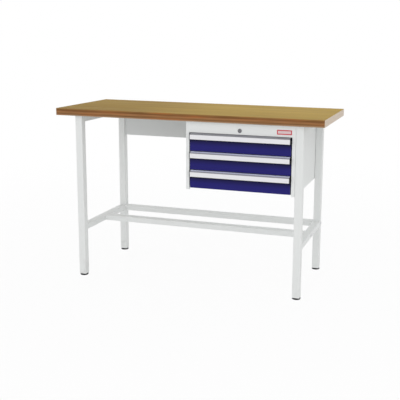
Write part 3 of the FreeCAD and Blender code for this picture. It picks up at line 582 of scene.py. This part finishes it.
def addFoot(corner):
    # radius by height: sole, ribbed rim, shoulder; then the stud, whose radius follows a helix
    f, node = levellingFoot, "foot_" + corner
    low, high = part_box(node)
    middle, rim, stem, pad = (low + high) / 2, (high.x - low.x) / 2, f["stud"], f["padHeight"]
    inward, down = f["shoulderEase"]
    sides = f["sides"]
    angle = np.linspace(0, 2 * math.pi, sides, endpoint=False)[None, :]
    # columns: radius, height, share of the ribs' depth
    padRows = np.array([(rim * f["hollow"], 0.0, 0), (rim - f["sole"], 0.0, 0), (rim, f["sole"], 0.4),
                        (rim, pad - f["shoulder"], 1), (rim - inward, pad - down, 0.6),
                        (rim - f["shoulder"], pad, 0), (stem * f["collar"], pad, 0)])
    ribs = f["ribDepth"] * (0.5 - 0.5 * np.cos(f["ribs"] * angle))
    padReach = padRows[:, 0, None] - padRows[:, 2, None] * ribs
    padLevel = np.repeat(padRows[:, 1, None], sides, 1)
    top = high.z - f["tipHeight"]
    turns = (top - pad) / f["pitch"]
    climb = np.linspace(pad + f["threadStart"], top, int(turns * f["perTurn"]))[:, None]
    phase = (climb / f["pitch"] - angle / (2 * math.pi)) % 1.0
    groove = np.clip(f["threadSlope"] * np.abs(2 * phase - 1) - f["threadCrest"], 0, 1)
    studReach = stem - f["threadDepth"] * groove
    studLevel = np.repeat(climb, sides, 1)
    tipReach, tipLevel = np.full((1, sides), stem * f["tip"]), np.full((1, sides), high.z)
    reach = np.vstack([padReach, studReach, tipReach])
    level = np.vstack([padLevel, studLevel, tipLevel])
    grid = np.stack([middle.x + reach * np.cos(angle), middle.y + reach * np.sin(angle), level], -1)
    finish = makeFootFinish(node + "_ribbed_finish")
    addPiece(node + "_ribbed", [ringShell(grid)], finish, node, [node])


for corner in ("front_left", "front_right", "rear_left", "rear_right"):
    addFoot(corner)

# Painted weld beads where the rails of the side frames meet the legs
weldBead = {"radius": 0.0024, "ripple": 0.09, "rippleLength": 0.0026, "proud": 0.0004, "sunk": 0.0019,
            "flattened": 0.2, "corner": 0.003, "steps": 200, "around": 12}


def roundedLoop(halfWide, halfHigh, corner, steps):
    # evenly spaced points round a rectangle with round corners, and their outward directions
    turn = np.linspace(0, 2 * math.pi, 4 * steps, endpoint=False)
    way = np.stack([np.cos(turn), np.sin(turn)], 1)
    track = np.sign(way) * np.array([halfWide - corner, halfHigh - corner]) + corner * way
    strides = np.linalg.norm(np.diff(track, axis=0, append=track[:1]), axis=1)
    gone = np.concatenate([[0], np.cumsum(strides)])
    wanted = np.linspace(0, gone[-1], steps, endpoint=False)
    closed, ways = np.vstack([track, track[:1]]), np.vstack([way, way[:1]])
    points = np.stack([np.interp(wanted, gone, closed[:, i]) for i in (0, 1)], 1)
    ways = np.stack([np.interp(wanted, gone, ways[:, i]) for i in (0, 1)], 1)
    return points, ways / np.linalg.norm(ways, axis=1)[:, None], wanted


def beadGrid(rail, atFront):
    # a rippled round bead carried along the rail's outline; on the flush sides it is sunk to a low line
    w = weldBead
    low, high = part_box(rail)
    middle = (low + high) / 2
    track, way, gone = roundedLoop((high.x - low.x) / 2, (high.z - low.z) / 2, w["corner"], w["steps"])
    flush = np.abs(way[:, 0]) ** 2
    offset = w["proud"] * (1 - flush) - w["sunk"] * flush
    radius = w["radius"] * (1 + w["ripple"] * np.cos(2 * math.pi * gone / w["rippleLength"]))
    angle = np.linspace(0, 2 * math.pi, w["around"], endpoint=False)
    reach = offset[:, None] + radius[:, None] * np.cos(angle)
    spread = radius * (1 - w["flattened"] * (1 - flush))
    seam = (low.y if atFront else high.y) + spread[:, None] * np.sin(angle)
    return np.stack([middle.x + track[:, 0, None] + reach * way[:, 0, None], seam,
                     middle.z + track[:, 1, None] + reach * way[:, 1, None]], -1)


def addBeads(side):
    rails = [row + "_rail_" + side for row in ("top", "low")]
    shells = [ringShell(beadGrid(rail, atFront), True) for rail in rails for atFront in (True, False)]
    finish = makePaint("weld_beads_" + side + "_finish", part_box("leg_front_" + side))
    addPiece("weld_beads_" + side, shells, finish, "bench")


for side in ("left", "right"):
    addBeads(side)

# Bent channels that close the gap between the drawer unit's sides and the rear apron
closingChannel = {"sheet": 0.0015, "flange": 0.012, "bend": 0.0022, "bendSteps": 7, "ease": 0.0003}


def addChannel(side):
    # a tall thin section of sheet carried along a path in plan: flange on the unit, web flush with its side,
    # flange on the apron, with a quarter circle at each bend
    c = closingChannel
    half, ease, bend = c["sheet"] / 2, c["ease"], c["bend"]
    low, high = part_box("cabinet_" + side + "_side")
    inward = 1 if side == "left" else -1
    web = (low.x if side == "left" else high.x) + inward * half
    front, back = high.y + half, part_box("rear_apron")[0].y - half
    turn = np.linspace(0, math.pi / 2, c["bendSteps"])
    near, far = 1 - np.sin(turn), 1 - np.cos(turn)
    frontBend = np.stack([bend * near, front + bend * far], 1)
    backBend = np.stack([bend * far, back - bend * near], 1)
    path = np.vstack([[(c["flange"], front)], frontBend, backBend, [(c["flange"], back)]])
    away = np.vstack([[(0, -1)], np.stack([-np.sin(turn), -np.cos(turn)], 1),
                      np.stack([-np.cos(turn), np.sin(turn)], 1), [(0, 1)]])
    # the section's eight corners, by their distance from the path and their height
    offset = np.array([-half, ease - half, half - ease, half, half, half - ease, ease - half, -half])
    level = np.array([low.z + ease, low.z, low.z, low.z + ease, high.z - ease, high.z, high.z, high.z - ease])
    plan = path[:, None] + away[:, None] * offset[None, :, None]
    levels = np.repeat(level[None], len(path), 0)
    grid = np.stack([web + inward * plan[..., 0], plan[..., 1], levels], -1)
    finish = makePaint("closing_channel_" + side + "_finish", gridBox(grid))
    addPiece("closing_channel_" + side, [ringShell(grid)], finish, "bench")


for side in ("left", "right"):
    addChannel(side)

# Plain blank plate on the fascia
blankPlate = {
    "middle": (0.542, 0.8815), "half": (0.039, 0.0122), "corner": 0.0026, "steps": 120,
    "thick": 0.0011, "bevel": 0.0003, "rim": 0.0012, "sink": 0.0003, "field": 0.0024,
    "red": rgb(0.620, 0.050, 0.070), "pale": rgb(0.760, 0.620, 0.630),
    "border": 0.0052, "borderBlur": 0.0002, "borderRagged": 0.0004,
    "cloudScale": 90, "cloudShare": 0.1, "wear": 0.0012, "wearShare": 0.3,
    "roughness": 0.36, "roughCloud": 0.15, "specular": 0.3, "grainScale": 1400, "relief": (0.08, 0.0002)}


def makePlateFinish(box):
    # a pale field within a red border
    make, b = Finish("blank_plate_finish"), blankPlate
    cloud, grain = make.noise(b["cloudScale"], 4), make.noise(b["grainScale"], 2)
    x, y, z = make.axes()
    inset = (b["half"][0] - abs(x - b["middle"][0])).lesser(b["half"][1] - abs(z - b["middle"][1]))
    ragged = inset + (cloud - 0.5) * b["borderRagged"]
    field = make.step(ragged, b["border"] - b["borderBlur"], b["border"] + b["borderBlur"])
    share = field * (cloud * b["cloudShare"] + (1 - b["cloudShare"]))
    colour = make.mix(share + make.edges(box, b["wear"]) * b["wearShare"], b["red"], b["pale"])
    rough = make.vary(b["roughness"], (cloud, b["roughCloud"]))
    return make.done(Base_Color=colour, Roughness=rough, Specular_IOR_Level=b["specular"],
                     Normal=make.bump(grain, *b["relief"]))


def addPlate():
    # outlines of a rounded rectangle, drawn in and lifted: wall, bevel, raised rim, sunk field
    b = blankPlate
    face, bevel, thick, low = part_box("cabinet_fascia")[0].y, b["bevel"], b["thick"], b["thick"] - b["sink"]
    track, way, gone = roundedLoop(b["half"][0], b["half"][1], b["corner"], b["steps"])
    rows = np.array([(0.0, 0.0), (0.0, thick - bevel), (bevel, thick), (b["rim"], thick),
                     (b["rim"] + bevel, low), (b["field"], low)])
    flat = track[None] - way[None] * rows[:, 0, None, None]
    lift = np.repeat(rows[:, 1, None], len(track), 1)
    grid = np.stack([b["middle"][0] + flat[..., 0], face - lift, b["middle"][1] + flat[..., 1]], -1)
    addPiece("blank_plate", [ringShell(grid)], makePlateFinish(gridBox(grid)), "bench")


addPlate()
print("pieces added")

# Studio: white all round, a weak soft lamp near the camera, and a floor that keeps a faint shadow
studio = {"skyAll": 0.80, "skyFront": 0.18, "lampPlace": (1.3, -3.9, 1.5), "lampAim": (0, 0, 0.6),
          "lampSize": 2.6, "lampPower": 6, "floorSize": 40.0, "floorColour": rgb(0.95, 0.95, 0.95),
          "floorClear": 0.92, "fadeFrom": 0.9, "fadeTo": 4.5}


def seenWhite(make):
    # rays that should meet the plain white surroundings: the camera's, and those of metal and glass
    path = [make.node("ShaderNodeLightPath", output=kind)
            for kind in ("Is Camera Ray", "Is Glossy Ray", "Is Transmission Ray")]
    return path[0].greater(path[1]).greater(path[2])


def makeSky():
    # a little brighter towards the front
    world = bpy.data.worlds.new("studio")
    world.use_nodes = True
    bpy.context.scene.world = world
    make = Finish(tree=world.node_tree)
    way = make.node("ShaderNodeTexCoord", output="Generated")
    back = make.node("ShaderNodeSeparateXYZ", None, {0: way}, "Y")
    light = (0 - back).greater(0.0) * studio["skyFront"] + studio["skyAll"]
    white = seenWhite(make)
    strength = white + (1 - white) * light
    sky = make.node("ShaderNodeBackground", None, {"Color": rgb(1, 1, 1), "Strength": strength})
    make.node("ShaderNodeOutputWorld", None, {"Surface": sky})


def makeLamp():
    data = bpy.data.lights.new("softLamp", "AREA")
    data.size, data.energy = studio["lampSize"], studio["lampPower"]
    lamp = bpy.data.objects.new("softLamp", data)
    lamp.location = studio["lampPlace"]
    aim = Vector(studio["lampAim"]) - lamp.location
    lamp.rotation_euler = aim.to_track_quat("-Z", "Y").to_euler()
    bpy.context.scene.collection.objects.link(lamp)


def makeFloor():
    half = studio["floorSize"] / 2
    mesh = bpy.data.meshes.new("floor")
    corners = [(-half, -half, 0), (half, -half, 0), (half, half, 0), (-half, half, 0)]
    mesh.from_pydata(corners, [], [(0, 1, 2, 3)])
    floor = bpy.data.objects.new("floor", mesh)
    bpy.context.scene.collection.objects.link(floor)
    make = Finish("floor")
    shade = make.node("ShaderNodeBsdfDiffuse", None, {"Color": studio["floorColour"]})
    # the camera sees the white world through most of the floor, and so a foot that is screwed out below it;
    # the floor's own shade fades out round the bench, so that no horizon shows
    clear = make.node("ShaderNodeBsdfTransparent", None, {"Color": rgb(1, 1, 1)})
    x, y, z = make.axes()
    fade = make.step((x * x + y * y) ** 0.5, studio["fadeFrom"], studio["fadeTo"])
    share = seenWhite(make) * (fade * (1 - studio["floorClear"]) + studio["floorClear"])
    both = make.node("ShaderNodeMixShader", None, {0: share, 1: shade, 2: clear})
    make.node("ShaderNodeOutputMaterial", None, {"Surface": both})
    mesh.materials.append(make.material)


makeSky()
makeLamp()
makeFloor()
print("studio made")

# Camera at the photograph's viewing angle, found from the straight edges of the top and the legs
cameraFit = {"place": (1.38528, -3.89367, 1.37382), "yaw": 16.9095, "pitch": 10.8143, "roll": 0.6762,
             "focalPixels": 736.6733, "imagePixels": 400, "middle": (235.9428, 173.5251), "sensor": 36.0}


def makeCamera():
    c = cameraFit
    yaw, pitch, roll = [math.radians(c[k]) for k in ("yaw", "pitch", "roll")]
    ahead = Vector((-math.sin(yaw) * math.cos(pitch), math.cos(yaw) * math.cos(pitch), -math.sin(pitch)))
    right = Vector((math.cos(yaw), math.sin(yaw), 0))
    up = right.cross(ahead)
    across = math.cos(roll) * right + math.sin(roll) * up
    upright = math.cos(roll) * up - math.sin(roll) * right
    data = bpy.data.cameras.new("photoCamera")
    data.sensor_width = c["sensor"]
    data.lens = c["focalPixels"] / c["imagePixels"] * c["sensor"]
    data.shift_x = 0.5 - c["middle"][0] / c["imagePixels"]
    data.shift_y = c["middle"][1] / c["imagePixels"] - 0.5
    camera = bpy.data.objects.new("photoCamera", data)
    turn = Matrix((across, upright, -ahead)).transposed().to_4x4()
    camera.matrix_world = Matrix.Translation(Vector(c["place"])) @ turn
    bpy.context.scene.collection.objects.link(camera)
    bpy.context.scene.camera = camera


makeCamera()
bpy.context.scene.view_settings.view_transform = "Standard"
print("camera made")
